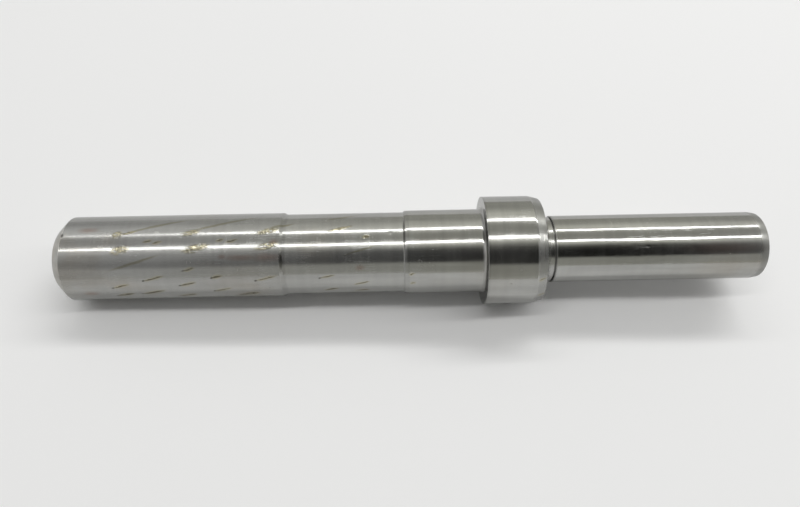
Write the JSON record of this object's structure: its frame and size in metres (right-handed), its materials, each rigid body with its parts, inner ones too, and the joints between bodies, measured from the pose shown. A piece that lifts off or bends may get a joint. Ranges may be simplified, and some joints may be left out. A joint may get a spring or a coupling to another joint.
{
  "type": "stepped shaft",
  "caption": "Solid ground steel shaft: a long plain seat, a shallow relief, a bearing seat against a collar, and a slimmer journal.",
  "frame": {"origin": "centre of the end face of the long seat, the chamfered end that the shaft stands on", "axes": "+Z along the shaft's axis, from the long seat's end towards the journal's tip; X and Y across it"},
  "size_m": [0.0324, 0.0324, 0.2075],
  "materials": {
    "ground_steel": "turned and ground bare steel, satin on the long seat and brighter towards the journal, with brownish rub marks left by a protective net"
  },
  "bodies": {
    "root": {"stepped_shaft": "ground_steel"}
  },
  "joints": []
}
